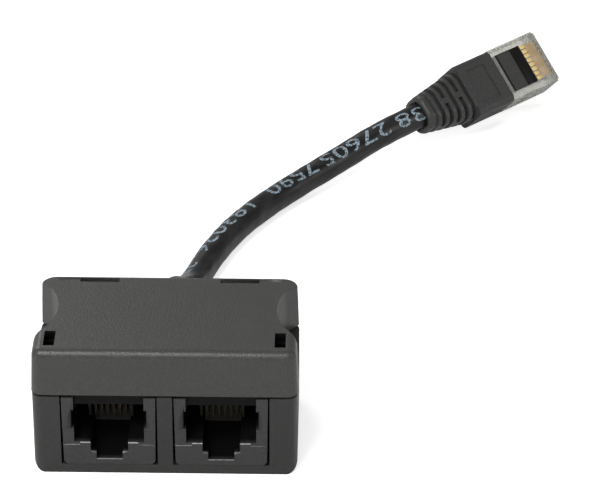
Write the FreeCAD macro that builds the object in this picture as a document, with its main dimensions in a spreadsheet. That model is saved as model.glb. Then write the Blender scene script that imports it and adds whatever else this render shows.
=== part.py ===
import FreeCAD, Part
import math
import os
import re
import Sketcher

# RJ45 splitter adapter, in millimetres. The origin is at the bottom centre of the housing, +Z is up and
# the two sockets face -Y. The lead leaves the rear wall and lies behind the housing.

os.makedirs("parts", exist_ok=True)
doc = FreeCAD.newDocument("splitter")
sheet = doc.addObject("Spreadsheet::Sheet", "sizes")

SIZES = {
    # Sockets, which give the housing its width and its height up to the rim.
    "mouth_width": 11.93,
    "pillar_width": 2.01,
    "jack_spacing": 3.1,
    "jack_setback": 0.05,
    "jack_draft": 0.17,
    "jack_corner_radius": 0.95,
    "jack_gap": 0.25,
    "ledge_height": 4.45,
    "mouth_height": 6.7,
    "hood_thickness": 2.3,
    "hood_setback": 1.7,
    "hood_depth": 1.7,
    "plug_depth": 12.0,
    "carrier_depth": 3.8,
    "slot_width": 6.4,
    "slot_drop": 1.85,
    "notch_width": 4.5,
    "notch_drop": 3.45,
    "front_lip": 1.6,
    "side_recess_width": 0.45,
    "side_recess_rise": 2.9,
    "side_recess_height": 3.6,
    "side_recess_depth": 6.0,
    "band_drop": 0.5,
    "band_height": 2.87,
    "band_depth": 0.15,
    "peg_diameter": 1.8,
    "peg_spacing": 10.6,
    "peg_height": 2.4,
    "peg_setback": 6.5,
    # Contacts and their carrier.
    "contact_pitch": 1.02,
    "contact_width": 0.45,
    "contact_thickness": 0.35,
    "contact_side_room": 0.055,
    "contact_front": 4.6,
    "fold_offset": 0.24,
    "knee_setback": 6.5,
    "knee_rise": 1.45,
    "knee_offset": 0.12,
    "tip_gap": 1.4,
    "tip_rise": 0.95,
    "tail_inset": 1.2,
    "tail_stagger": 1.5,
    "tail_above_board": 1.1,
    "carrier_side": 0.12,
    "carrier_clearance": 0.05,
    # Circuit board and the wires that reach it.
    "board_margin": 1.575,
    "board_setback": 3.1,
    "board_overhang": 1.45,
    "board_thickness": 1.6,
    "tail_hole_room": 0.35,
    "wire_gap": 0.12,
    "wire_spacing": 0.1,
    "wire_hole_pitch": 2.0,
    "wire_hole_inset": 1.3,
    "wire_rise": 1.5,
    "wire_turn": 1.1,
    "wire_room": 3.3,
    # Housing, both shells. Its depth adds up from the sockets, the board, the wires and the walls.
    "floor_thickness": 1.75,
    "rim_above_jacks": 0.2,
    "seam_gap": 0.35,
    "cover_height": 8.45,
    "roof_thickness": 1.8,
    "side_wall": 2.0,
    "front_wall": 2.2,
    "rear_wall": 2.0,
    "front_corner_radius": 1.9,
    "rear_corner_radius": 3.0,
    "bottom_edge_radius": 2.0,
    "top_edge_radius": 1.5,
    "cover_lip": 0.1,
    "cover_draft_angle": 2.35,
    "fit_clearance": 0.1,
    "rib_thickness": 1.0,
    "rib_height": 10.5,
    "rib_gap": 0.35,
    "stop_height": 3.25,
    "stop_width": 10.0,
    "centre_hold_length": 9.3,
    "side_hold_length": 5.0,
    # Inside of the housing: a wide bay at the front for the snap arms and a narrow bay behind it.
    "arm_bay_depth": 4.9,
    "board_side_gap": 0.42,
    "tongue_thickness": 0.9,
    "tongue_height": 1.5,
    "rear_tongue_start": 5.1,
    "rear_tongue_length": 8.9,
    # Finger scallop in each side of the cover.
    "scallop_wall": 1.85,
    "scallop_start": 4.3,
    "scallop_shoulder_radius": 3.5,
    "scallop_radius": 11.8,
    "scallop_angle": 42.0,
    "crease_length": 2.4,
    "scallop_rear": 1.8,
    # Holes in the roof and the snap arms that stand below them.
    "hole_width": 1.85,
    "hole_length": 4.5,
    "hole_front": 2.4,
    "rear_slot_spacing": 24.3,
    "rear_slot_width": 6.75,
    "rear_slot_length": 1.25,
    "rear_slot_rim": 1.35,
    "catch_depth": 2.2,
    "nose_height": 1.4,
    "nose_length": 0.8,
    "arm_thickness": 1.6,
    "rear_arm_thickness": 0.9,
    "rear_nose_width": 4.3,
    # Lead, from the rear wall to the plug.
    "cable_diameter": 5.1,
    "cable_tail_length": 1.2,
    "grommet_diameter": 9.4,
    "grommet_neck_diameter": 7.0,
    "grommet_flange": 1.1,
    "grommet_shoulder": 0.7,
    "grommet_length": 2.5,
    "grommet_end_diameter": 6.4,
    # Plug and boot, in the plug's own frame: +Y is the way it goes in, +Z is out of its contact face.
    "plug_across": 61.9,
    "plug_behind": 99.5,
    "plug_above_floor": 10.25,
    "plug_azimuth": 41.6,
    "plug_pitch": 1.5,
    "plug_roll": 42.5,
    "plug_width": 11.68,
    "plug_height": 6.6,
    "plug_length": 12.4,
    "plug_edge_radius": 0.4,
    "neck_width": 9.9,
    "neck_height": 5.0,
    "neck_length": 5.0,
    "window_width": 8.5,
    "window_start": 1.1,
    "window_length": 4.2,
    "window_roof": 1.3,
    "cavity_height": 3.7,
    "block_clearance": 0.05,
    "block_inset": 0.12,
    "blade_thickness": 0.3,
    "blade_length": 3.3,
    "blade_height": 2.5,
    "blade_inset": 0.35,
    "blade_slot_width": 0.42,
    "blade_slot_length": 4.5,
    "wire_channel_height": 1.0,
    "wire_end_margin": 0.8,
    "latch_width": 6.0,
    "latch_finger_width": 3.3,
    "latch_thickness": 1.0,
    "latch_drop": 4.3,
    "latch_bend": 0.2,
    "latch_root_inset": 0.3,
    "latch_root_length": 1.6,
    "latch_finger_start": 5.2,
    "latch_end_gap": 0.6,
    "boot_width": 11.5,
    "boot_height": 7.9,
    "boot_proud": 0.35,
    "boot_body_length": 9.3,
    "boot_length": 20.9,
    "boot_corner_radius": 1.1,
    "boot_tail_width": 10.9,
    "boot_tail_height": 7.4,
    "boot_tail_radius": 2.6,
    "boot_end_diameter": 7.1,
    "boot_mouth_diameter": 6.1,
    "boot_mouth_depth": 1.5,
    "panel_width": 7.4,
    "panel_length": 4.9,
    "panel_inset": 2.6,
    "panel_depth": 0.25,
    "groove_start": 9.6,
    "groove_pitch": 1.85,
    "groove_width": 0.95,
    "groove_depth": 0.9,
    "groove_top_web": 0.6,
    "groove_side_web": 0.8,
}

for row, (alias, value) in enumerate(SIZES.items(), start=1):
    sheet.set("A%d" % row, alias)
    sheet.set("B%d" % row, str(value))
    sheet.setAlias("B%d" % row, alias)
doc.recompute()


def bound(text):
    """An expression with each size's name tied to its cell."""
    def tie(word):
        name = word.group(0)
        return "sizes." + name if name in SIZES else name
    return re.sub(r"[a-z][a-z_]+", tie, text)


def number(text):
    """The value of an expression."""
    return float(sheet.evalExpression(bound(text)))


# A cut runs past the face that it opens by PAST, and a rib or an arm starts inside its wall by ROOT.
PAST = "1"
ROOT = "0.5"
SAME_PLACE = 1e-6
WIRE_SIDES = 12

# Places that several pieces share, each written once. First across the part.
JACK_WIDTH = "(mouth_width + 2 * pillar_width)"
JACK_X = "((%s + jack_spacing) / 2)" % JACK_WIDTH
JACK_OUTSIDE = "(%s + %s / 2)" % (JACK_X, JACK_WIDTH)
BASE_BAY = "(%s + 4 * fit_clearance)" % JACK_OUTSIDE
BOARD_HALF = "(%s + peg_spacing / 2 + board_margin)" % JACK_X
SCALLOP_TURN = "(1 - cos(scallop_angle * 1 deg))"
SCALLOP_DEPTH = "((scallop_shoulder_radius + scallop_radius) * %s)" % SCALLOP_TURN
COVER_BAY = "(%s + board_side_gap)" % BOARD_HALF
COVER_HALF = "(%s + scallop_wall + %s)" % (COVER_BAY, SCALLOP_DEPTH)
HALF_WIDTH = "(%s - cover_lip)" % COVER_HALF
WIDE_BAY = "(%s - side_wall)" % HALF_WIDTH
HOLE_X = "(%s - hole_width / 2 - fit_clearance)" % WIDE_BAY
CARRIER_HALF = "(4 * contact_pitch + carrier_side)"
WIRE_DIAMETER = "(contact_pitch - wire_gap)"
CONTACT_SLOT = "(contact_width / 2 + contact_side_room)"

# Places along the part, from the front to the rear.
JACK_DEPTH = "(plug_depth + carrier_depth)"
BEHIND_JACKS = "(board_overhang + wire_room + cable_tail_length + grommet_flange + fit_clearance)"
HOUSING_DEPTH = "(jack_setback + %s + %s + rear_wall)" % (JACK_DEPTH, BEHIND_JACKS)
FRONT = "(-%s / 2)" % HOUSING_DEPTH
REAR = "(%s / 2)" % HOUSING_DEPTH
INNER_FRONT = "(%s + front_wall)" % FRONT
INNER_REAR = "(%s - rear_wall)" % REAR
BAY_END = "(%s + arm_bay_depth)" % INNER_FRONT
ARM_REAR = "(%s - 4 * fit_clearance)" % BAY_END
HOLE_Y = "(%s + hole_front)" % FRONT
REAR_SLOT_END = "(%s - rear_slot_rim)" % REAR
JACK_FRONT = "(%s + jack_setback)" % FRONT
JACK_REAR = "(%s + %s)" % (JACK_FRONT, JACK_DEPTH)
HOOD_END = "(hood_setback + hood_depth)"
BOARD_FRONT = "(%s + board_setback)" % FRONT
BOARD_REAR = "(%s + board_overhang)" % JACK_REAR
WIRE_HOLE_Y = "(%s - wire_hole_inset)" % BOARD_REAR
TAIL_END = "(%s + wire_room)" % BOARD_REAR
EXIT_Y = "(%s + grommet_length)" % REAR
SHOULDER_END = "(scallop_start + scallop_shoulder_radius * sin(scallop_angle * 1 deg))"
SCALLOP_MIDDLE = "(%s + scallop_radius * sin(scallop_angle * 1 deg))" % SHOULDER_END

# Places up the part.
LEDGE = "(floor_thickness + ledge_height)"
MOUTH_TOP = "(%s + mouth_height)" % LEDGE
NOTCH_FLOOR = "(%s - notch_drop)" % LEDGE
BOARD_BOTTOM = "(%s + hood_thickness)" % MOUTH_TOP
BOARD_TOP = "(%s + board_thickness)" % BOARD_BOTTOM
RIM = "(%s + rim_above_jacks)" % BOARD_BOTTOM
SEAM = "(%s + seam_gap / 2)" % RIM
COVER_BOTTOM = "(%s + seam_gap)" % RIM
TOP = "(%s + cover_height)" % COVER_BOTTOM
ROOF = "(%s - roof_thickness)" % TOP
CATCH = "(%s - catch_depth)" % ROOF
NOSE = ("%s + fit_clearance" % CATCH, "%s + fit_clearance + nose_height" % CATCH)
ARM_TOP = "(%s + 2 * fit_clearance + nose_height)" % CATCH

# Places in the plug's own frame.
WINDOW_END = "(window_start + window_length)"
CAVITY_ROOF = "(-window_roof)"
CAVITY_FLOOR = "(%s - cavity_height)" % CAVITY_ROOF
CHANNEL_TOP = "(-blade_inset - blade_height)"
PLUG_AXIS = "(-plug_height / 2)"


def plane(body, role):
    """One of the body's three origin planes."""
    return [feature for feature in body.Origin.OriginFeatures if feature.Role == role][0]


def new_body(name):
    """An empty body that carries the node's name."""
    body = doc.addObject("PartDesign::Body", name)
    body.Label = name
    return body


def new_sketch(body, name, role, offset="0"):
    """A sketch on an origin plane, moved along the plane's normal by the offset."""
    sketch = body.newObject("Sketcher::SketchObject", body.Name + "_" + name)
    sketch.AttachmentSupport = (plane(body, role), [""])
    sketch.MapMode = "FlatFace"
    sketch.setExpression("AttachmentOffset.Base.z", bound(offset))
    return sketch


def pin(sketch, index, corner, across, along):
    """Hold one end of an edge at its place with two bound distances."""
    for kind, text in (("DistanceX", across), ("DistanceY", along)):
        added = sketch.addConstraint(Sketcher.Constraint(kind, -1, 1, index, corner, number(text)))
        sketch.setExpression("Constraints[%d]" % added, bound(text))


def arc_edge(start, finish, radius, turn):
    """An arc between two points that turns left (1) or right (-1)."""
    chord = finish - start
    rise = math.sqrt(max(radius ** 2 - (chord.Length / 2) ** 2, 0))
    left = FreeCAD.Vector(-chord.y, chord.x, 0).normalize()
    centre = start + chord * 0.5 + left * rise * turn
    first, last = (start, finish) if turn > 0 else (finish, start)
    angles = [math.atan2(point.y - centre.y, point.x - centre.x) for point in (first, last)]
    if angles[1] < angles[0]:
        angles[1] += 2 * math.pi
    return Part.ArcOfCircle(Part.Circle(centre, FreeCAD.Vector(0, 0, 1), radius), angles[0], angles[1])


def loop(sketch, points):
    """A closed outline. A point is (x, y), or (x, y, radius, turn) where an arc leads on to the next point."""
    places = [FreeCAD.Vector(number(point[0]), number(point[1]), 0) for point in points]
    ends = []
    for index, point in enumerate(points):
        start = places[index]
        finish = places[(index + 1) % len(points)]
        if len(point) == 2:
            added = sketch.addGeometry(Part.LineSegment(start, finish), False)
            ends.append((added, 1, 2))
        else:
            added = sketch.addGeometry(arc_edge(start, finish, number(point[2]), point[3]), False)
            held = sketch.addConstraint(Sketcher.Constraint("Radius", added, number(point[2])))
            sketch.setExpression("Constraints[%d]" % held, bound(point[2]))
            ends.append((added, 1, 2) if point[3] > 0 else (added, 2, 1))
    for index, (edge, first, last) in enumerate(ends):
        following, joined, _ = ends[(index + 1) % len(ends)]
        sketch.addConstraint(Sketcher.Constraint("Coincident", edge, last, following, joined))
        pin(sketch, edge, first, points[index][0], points[index][1])


def rectangle(left, right, low, high):
    """The four corners of a rectangle."""
    left, right, low, high = ["(%s)" % value for value in (left, right, low, high)]
    return [(left, low), (right, low), (right, high), (left, high)]


def disc(sketch, across, along, diameter):
    """A circle in a sketch."""
    centre = FreeCAD.Vector(number(across), number(along), 0)
    added = sketch.addGeometry(Part.Circle(centre, FreeCAD.Vector(0, 0, 1), number(diameter) / 2), False)
    pin(sketch, added, 3, across, along)
    held = sketch.addConstraint(Sketcher.Constraint("Diameter", added, number(diameter)))
    sketch.setExpression("Constraints[%d]" % held, bound(diameter))


def pad(body, sketch, length, reverse=False, middle=False, taper=None):
    """Raise material from a sketch."""
    feature = body.newObject("PartDesign::Pad", sketch.Name + "_pad")
    feature.Profile = sketch
    feature.setExpression("Length", bound(length))
    feature.Reversed = reverse
    if middle:
        feature.Midplane = True
    if taper:
        feature.setExpression("TaperAngle", bound(taper))
    sketch.Visibility = False
    return feature


def pocket(body, sketch, length, reverse=False, middle=False):
    """Cut material away below a sketch."""
    feature = body.newObject("PartDesign::Pocket", sketch.Name + "_pocket")
    feature.Profile = sketch
    feature.setExpression("Length", bound(length))
    feature.Reversed = reverse
    if middle:
        feature.Midplane = True
    sketch.Visibility = False
    return feature


def add_box(body, name, x_range, y_range, z_range):
    """A block between two values on each axis, as a sketch seen from above and its pad."""
    sketch = new_sketch(body, name, "XY_Plane", z_range[0])
    loop(sketch, rectangle(x_range[0], x_range[1], y_range[0], y_range[1]))
    return pad(body, sketch, "(%s) - (%s)" % (z_range[1], z_range[0]))


def cut_box(body, name, x_range, y_range, z_range):
    """A rectangular cut between two values on each axis."""
    sketch = new_sketch(body, name, "XY_Plane", z_range[1])
    loop(sketch, rectangle(x_range[0], x_range[1], y_range[0], y_range[1]))
    return pocket(body, sketch, "(%s) - (%s)" % (z_range[1], z_range[0]))


def cut_boxes(body, name, ranges, z_range):
    """Several rectangular cuts of one depth from one sketch."""
    sketch = new_sketch(body, name, "XY_Plane", z_range[1])
    for x_range, y_range in ranges:
        loop(sketch, rectangle(x_range[0], x_range[1], y_range[0], y_range[1]))
    return pocket(body, sketch, "(%s) - (%s)" % (z_range[1], z_range[0]))


def both_sides(low, high):
    """The same range on the left and on the right."""
    return [("-(%s)" % high, "-(%s)" % low), (low, high)]


def round_edges(body, radius, chosen):
    """Round the edges of the body's last feature that the test picks."""
    doc.recompute()
    tip = body.Tip
    names = ["Edge%d" % (index + 1) for index, edge in enumerate(tip.Shape.Edges) if chosen(edge)]
    feature = body.newObject("PartDesign::Fillet", body.Name + "_round")
    feature.Base = (tip, names)
    feature.setExpression("Radius", bound(radius))
    return feature


def plan(half, front, rear, front_radius, rear_radius):
    """A rectangle seen from above with its four corners rounded."""
    return [
        ("-%s + %s" % (half, front_radius), front),
        ("%s - %s" % (half, front_radius), front, front_radius, 1),
        (half, "%s + %s" % (front, front_radius)),
        (half, "%s - %s" % (rear, rear_radius), rear_radius, 1),
        ("%s - %s" % (half, rear_radius), rear),
        ("-%s + %s" % (half, rear_radius), rear, rear_radius, 1),
        ("-%s" % half, "%s - %s" % (rear, rear_radius)),
        ("-%s" % half, "%s + %s" % (front, front_radius), front_radius, 1),
    ]


def bay(narrow):
    """The inside of a shell seen from above: wide for the snap arms, then narrow."""
    right = [(WIDE_BAY, INNER_FRONT), (WIDE_BAY, BAY_END), (narrow, BAY_END), (narrow, INNER_REAR)]
    left = [("-" + across, along) for across, along in reversed(right)]
    return right + left


# Base: the lower shell.
def make_base():
    body = new_body("base")
    sketch = new_sketch(body, "outline", "XY_Plane")
    loop(sketch, plan(HALF_WIDTH, FRONT, REAR, "front_corner_radius", "rear_corner_radius"))
    pad(body, sketch, RIM)

    # The long bottom edges are rounded from front to back.
    radius = "bottom_edge_radius"
    past = "(%s + %s)" % (HALF_WIDTH, PAST)
    for side, turn, name in (("-", -1, "left_edge"), ("", 1, "right_edge")):
        sketch = new_sketch(body, name, "XZ_Plane", "(-%s - %s)" % (REAR, PAST))
        loop(sketch, [
            ("%s%s" % (side, HALF_WIDTH), radius),
            ("%s%s" % (side, past), radius),
            ("%s%s" % (side, past), "-" + PAST),
            ("%s(%s - %s)" % (side, HALF_WIDTH, radius), "-" + PAST),
            ("%s(%s - %s)" % (side, HALF_WIDTH, radius), "0", radius, turn),
        ])
        pocket(body, sketch, "%s + 2 * %s" % (HOUSING_DEPTH, PAST), reverse=True)

    # The bay, and the two cut-outs in the front wall that the sockets look through.
    sketch = new_sketch(body, "bay", "XY_Plane", RIM)
    loop(sketch, bay(BASE_BAY))
    pocket(body, sketch, "%s - floor_thickness" % RIM)
    low = "(%s - %s / 2 - jack_gap)" % (JACK_X, JACK_WIDTH)
    high = "(%s + jack_gap)" % JACK_OUTSIDE
    for index, x_range in enumerate(both_sides(low, high)):
        y_range = (beyond(FRONT, -1), INNER_FRONT + " + fit_clearance")
        cut_box(body, "socket_%d" % index, x_range, y_range, ("floor_thickness", beyond(RIM, 1)))

    # Round seat for the grommet, cut through the rear wall at the seam.
    cut_seat(body)

    # Ribs that place the sockets.
    ribs = ("floor_thickness", "floor_thickness + rib_height")
    half = "(jack_spacing / 2 - rib_gap)"
    add_box(body, "centre_rib", ("-" + half, half), ("%s - %s" % (INNER_FRONT, ROOT), JACK_REAR), ribs)
    stop = JACK_REAR + " + fit_clearance"
    stops = both_sides("%s - stop_width / 2" % JACK_X, "%s + stop_width / 2" % JACK_X)
    for index, x_range in enumerate(stops):
        add_box(body, "stop_rib_%d" % index, x_range, (stop, stop + " + rib_thickness"),
                ("floor_thickness", "floor_thickness + stop_height"))
    rib_front = INNER_FRONT + " + 4 * fit_clearance"
    for index, x_range in enumerate(both_sides(JACK_OUTSIDE + " + 2 * fit_clearance", WIDE_BAY)):
        add_box(body, "side_rib_%d" % index, x_range, (rib_front, rib_front + " + rib_thickness"), ribs)

    # Tongues on the rim that key the cover.
    tongues = ("%s - tongue_thickness" % RIM, "%s + tongue_height" % RIM)
    rear_tongues = both_sides("rear_tongue_start", "rear_tongue_start + rear_tongue_length")
    for index, x_range in enumerate(rear_tongues):
        y_range = (INNER_REAR, INNER_REAR + " + tongue_thickness")
        add_box(body, "rear_tongue_%d" % index, x_range, y_range, tongues)
    for index, x_range in enumerate(both_sides(WIDE_BAY, WIDE_BAY + " + tongue_thickness")):
        add_box(body, "side_tongue_%d" % index, x_range, (INNER_FRONT, FRONT + " + scallop_start"), tongues)

    # Two slim snap arms below the front holes in the roof, with their noses to the rear.
    arms = ("floor_thickness - " + ROOT, ARM_TOP)
    places = both_sides(HOLE_X + " - hole_width / 2 + fit_clearance", WIDE_BAY + " - fit_clearance")
    for index, x_range in enumerate(places):
        add_box(body, "arm_%d" % index, x_range, (ARM_REAR + " - arm_thickness", ARM_REAR), arms)
        y_range = ("%s - %s" % (ARM_REAR, ROOT), ARM_REAR + " + nose_length")
        add_box(body, "nose_%d" % index, x_range, y_range, NOSE)

    # Two broad snap arms along the rear wall below the rear slots, with their noses in the wall.
    face = "(%s - fit_clearance)" % INNER_REAR
    for index, x_range in enumerate(rear_slot("2 * fit_clearance")):
        add_box(body, "rear_arm_%d" % index, x_range, (face + " - rear_arm_thickness", face), arms)
    for index, x_range in enumerate(rear_slot("(rear_slot_width - rear_nose_width) / 2")):
        y_range = ("%s - %s" % (face, ROOT), REAR_SLOT_END + " - fit_clearance")
        add_box(body, "rear_nose_%d" % index, x_range, y_range, NOSE)
    return body


def beyond(place, side):
    """Just past a face, on its higher side (1) or its lower side (-1)."""
    return "%s %s %s" % (place, "+" if side > 0 else "-", PAST)


def cut_seat(body):
    """The round opening in the rear wall that the grommet's neck sits in, half in each shell."""
    sketch = new_sketch(body, "seat", "XZ_Plane", "(-%s - %s)" % (REAR, PAST))
    disc(sketch, "0", SEAM, "grommet_neck_diameter + fit_clearance")
    pocket(body, sketch, "rear_wall + %s + %s" % (PAST, ROOT), reverse=True)


def rear_slot(inset):
    """The two rear slots from side to side, each narrowed by the inset."""
    half = "(rear_slot_width / 2 - %s)" % inset
    return both_sides("rear_slot_spacing / 2 - " + half, "rear_slot_spacing / 2 + " + half)


def scallop(sign):
    """One finger scallop seen from above: a convex shoulder, a long hollow, a crease and a straight end."""
    front = "(%s + scallop_start)" % FRONT
    shoulder_x = "(%s - scallop_shoulder_radius * %s)" % (COVER_HALF, SCALLOP_TURN)
    middle_x = "(%s - %s)" % (COVER_HALF, SCALLOP_DEPTH)
    middle = "(%s + %s)" % (FRONT, SCALLOP_MIDDLE)
    end = "(%s - scallop_rear)" % REAR
    crease = "(%s - crease_length)" % end
    crease_x = "(%s + scallop_radius - sqrt(scallop_radius^2 - (%s - %s)^2))" % (middle_x, crease, middle)
    past = "(%s + 2 * %s)" % (COVER_HALF, PAST)
    points = [
        (COVER_HALF, front, "scallop_shoulder_radius", 1),
        (shoulder_x, "(%s + %s)" % (FRONT, SHOULDER_END), "scallop_radius", -1),
        (middle_x, middle, "scallop_radius", -1),
        (crease_x, crease),
        (COVER_HALF, end),
        (past, beyond(end, 1)),
        (past, front),
    ]
    if sign > 0:
        return points
    mirrored = []
    for point in points:
        arc = (point[2], -point[3]) if len(point) == 4 else ()
        mirrored.append(("-" + point[0], point[1]) + arc)
    return mirrored


# Cover: the upper shell.
def make_cover():
    body = new_body("cover")
    sketch = new_sketch(body, "outline", "XY_Plane", COVER_BOTTOM)
    loop(sketch, plan(COVER_HALF, FRONT, REAR, "front_corner_radius", "rear_corner_radius"))
    pad(body, sketch, "cover_height", taper="-cover_draft_angle")
    top = number(TOP) - SAME_PLACE
    round_edges(body, "top_edge_radius", lambda edge: min(vertex.Z for vertex in edge.Vertexes) > top)

    # Finger scallops through both sides, down to the seam.
    for sign, name in ((-1, "left_scallop"), (1, "right_scallop")):
        sketch = new_sketch(body, name, "XY_Plane", beyond(TOP, 1))
        loop(sketch, scallop(sign))
        pocket(body, sketch, "cover_height + 2 * " + PAST)

    # The bay below the roof.
    sketch = new_sketch(body, "bay", "XY_Plane", COVER_BOTTOM)
    loop(sketch, bay(COVER_BAY))
    pocket(body, sketch, "cover_height - roof_thickness", reverse=True)

    # Front holes over the slim snap arms, and the pockets behind them that the noses catch in.
    holes = []
    for x_range in both_sides(HOLE_X + " - hole_width / 2", HOLE_X + " + hole_width / 2"):
        holes.append((x_range, (HOLE_Y, HOLE_Y + " + hole_length")))
    cut_boxes(body, "front_holes", holes, ("%s - %s" % (ROOF, ROOT), beyond(TOP, 1)))
    pockets = []
    for x_range in both_sides(HOLE_X + " - hole_width / 2", WIDE_BAY):
        pockets.append((x_range, (BAY_END + " - fit_clearance", ARM_REAR + " + nose_length + fit_clearance")))
    cut_boxes(body, "nose_pockets", pockets, (CATCH, ROOF))

    # Rear slots over the broad snap arms, cut into the rear wall as deep as the noses need.
    slots = [(x_range, (REAR_SLOT_END + " - rear_slot_length", REAR_SLOT_END)) for x_range in rear_slot("0")]
    cut_boxes(body, "rear_slots", slots, (CATCH, beyond(TOP, 1)))

    # Grooves that take the base's tongues.
    outer = "tongue_thickness + fit_clearance"
    grooves = []
    for x_range in both_sides("rear_tongue_start - fit_clearance",
                              "rear_tongue_start + rear_tongue_length + fit_clearance"):
        grooves.append((x_range, (INNER_REAR + " - fit_clearance", "%s + %s" % (INNER_REAR, outer))))
    for x_range in both_sides(WIDE_BAY + " - fit_clearance", "%s + %s" % (WIDE_BAY, outer)):
        y_range = (INNER_FRONT + " - fit_clearance", FRONT + " + scallop_start + fit_clearance")
        grooves.append((x_range, y_range))
    cut_boxes(body, "grooves", grooves, (RIM, RIM + " + tongue_height + fit_clearance"))

    # Round seat for the grommet.
    cut_seat(body)

    # Ribs that hold the circuit board down.
    holds = (BOARD_TOP + " + fit_clearance / 2", "%s + %s" % (ROOF, ROOT))
    add_box(body, "centre_hold", ("-rib_thickness / 2", "rib_thickness / 2"),
            ("%s - %s" % (INNER_FRONT, ROOT), INNER_FRONT + " + centre_hold_length"), holds)
    side_front = BAY_END + " + rib_thickness"
    sides = both_sides(BOARD_HALF + " - rib_thickness", BOARD_HALF + " - 2 * fit_clearance")
    for index, x_range in enumerate(sides):
        add_box(body, "side_hold_%d" % index, x_range, (side_front, side_front + " + side_hold_length"), holds)
    return body


def jack_box(x_range, y_range, z_range):
    """A box's three ranges, with the depths counted from the socket's front."""
    return x_range, [JACK_FRONT + " + " + depth for depth in y_range], z_range


# Socket: a tray with a U-shaped front, a stepped slot for the plug's latch and an open rear for the carrier.
def make_jack(name):
    body = new_body(name)
    half = "(%s / 2)" % JACK_WIDTH
    low_half = "(%s - jack_draft)" % half
    radius = "jack_corner_radius"
    sketch = new_sketch(body, "outline", "XZ_Plane", "-" + JACK_FRONT)
    loop(sketch, [
        ("-%s + %s" % (low_half, radius), "floor_thickness"),
        ("%s - %s" % (low_half, radius), "floor_thickness", radius, 1),
        (low_half, "floor_thickness + " + radius),
        (half, BOARD_BOTTOM),
        ("-" + half, BOARD_BOTTOM),
        ("-" + low_half, "floor_thickness + " + radius, radius, 1),
    ])
    pad(body, sketch, JACK_DEPTH, reverse=True)

    mouth = ("-mouth_width / 2", "mouth_width / 2")
    slot = ("-slot_width / 2", "slot_width / 2")
    notch = ("-notch_width / 2", "notch_width / 2")
    room = "(%s + carrier_clearance)" % CARRIER_HALF
    before = "(-%s)" % PAST
    above = beyond(BOARD_BOTTOM, 1)
    to_rear = beyond(JACK_DEPTH, 1)
    to_bay = beyond("plug_depth", 1)
    under_hood = "%s - %s" % (MOUTH_TOP, ROOT)
    over_ledge = "%s + %s" % (LEDGE, ROOT)
    lip = "front_lip + " + ROOT
    cut_box(body, "mouth", *jack_box(mouth, (before, "plug_depth"), (LEDGE, MOUTH_TOP)))
    cut_box(body, "open_top", *jack_box(mouth, (before, "hood_setback"), (under_hood, above)))
    cut_box(body, "carrier_slot", *jack_box(("-" + room, room), (HOOD_END, to_bay), (under_hood, above)))
    cut_box(body, "rear_bay", *jack_box(mouth, ("plug_depth", to_rear), (NOTCH_FLOOR, above)))
    cut_box(body, "step", *jack_box(slot, (before, lip), (LEDGE + " - slot_drop", over_ledge)))
    cut_box(body, "notch", *jack_box(notch, (before, lip), (NOTCH_FLOOR, over_ledge)))
    cut_box(body, "channel", *jack_box(slot, ("front_lip", to_bay), (NOTCH_FLOOR, over_ledge)))

    # Shallow recesses in the mouth's sides and a shallow band across the pillars.
    inside = "mouth_width / 2 - " + PAST
    recesses = []
    for x_range in both_sides(inside, "mouth_width / 2 + side_recess_width"):
        recesses.append(jack_box(x_range, (before, "side_recess_depth"), None)[:2])
    bottom = LEDGE + " + side_recess_rise"
    cut_boxes(body, "side_recesses", recesses, (bottom, bottom + " + side_recess_height"))
    bands = []
    for x_range in both_sides(inside, beyond(half, 1)):
        bands.append(jack_box(x_range, (before, "band_depth"), None)[:2])
    bottom = LEDGE + " - band_drop"
    cut_boxes(body, "pillar_bands", bands, (bottom, bottom + " + band_height"))

    # Pegs that place the circuit board.
    sketch = new_sketch(body, "pegs", "XY_Plane", "%s - %s" % (BOARD_BOTTOM, ROOT))
    for side in ("-", ""):
        disc(sketch, side + "peg_spacing / 2", JACK_FRONT + " + peg_setback", "peg_diameter")
    pad(body, sketch, "peg_height + " + ROOT)
    return body


def tail_place(index):
    """The depth of a contact's tail: the odd ones stand in the front row."""
    front_row = "(%s + plug_depth + tail_inset)" % JACK_FRONT
    return front_row if index % 2 else "(%s + tail_stagger)" % front_row


def contact_x(index):
    """A contact's place across its socket, and a blade's across the plug."""
    return "((%s) * contact_pitch)" % (index - 4.5)


# Carrier: an L-shaped block that holds one socket's contacts.
def make_carrier(name):
    body = new_body(name)
    slab = ("-" + CARRIER_HALF, CARRIER_HALF)
    block_half = "(mouth_width / 2 - carrier_clearance)"
    slab_front = "(%s + %s + carrier_clearance)" % (JACK_FRONT, HOOD_END)
    block_front = "(%s + plug_depth + carrier_clearance)" % JACK_FRONT
    add_box(body, "slab", slab, (slab_front, block_front), (MOUTH_TOP, BOARD_BOTTOM))
    add_box(body, "block", ("-" + block_half, block_half), (block_front, JACK_REAR + " - carrier_clearance"),
            (NOTCH_FLOOR + " + carrier_clearance", BOARD_BOTTOM))
    room = "(contact_thickness / 2 + carrier_clearance)"
    grooves = []
    holes = []
    for index in range(1, 9):
        x_range = ["%s %s %s" % (contact_x(index), side, CONTACT_SLOT) for side in ("-", "+")]
        tail_rear = "%s + %s" % (tail_place(index), room)
        grooves.append((x_range, (beyond(block_front, -1), tail_rear)))
        holes.append((x_range, ("%s - %s" % (tail_place(index), room), tail_rear)))
    cut_boxes(body, "grooves", grooves, (MOUTH_TOP + " - 2 * " + room, MOUTH_TOP))
    cut_boxes(body, "tail_holes", holes, ("%s - %s" % (MOUTH_TOP, room), beyond(BOARD_BOTTOM, 1)))
    return body


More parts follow.
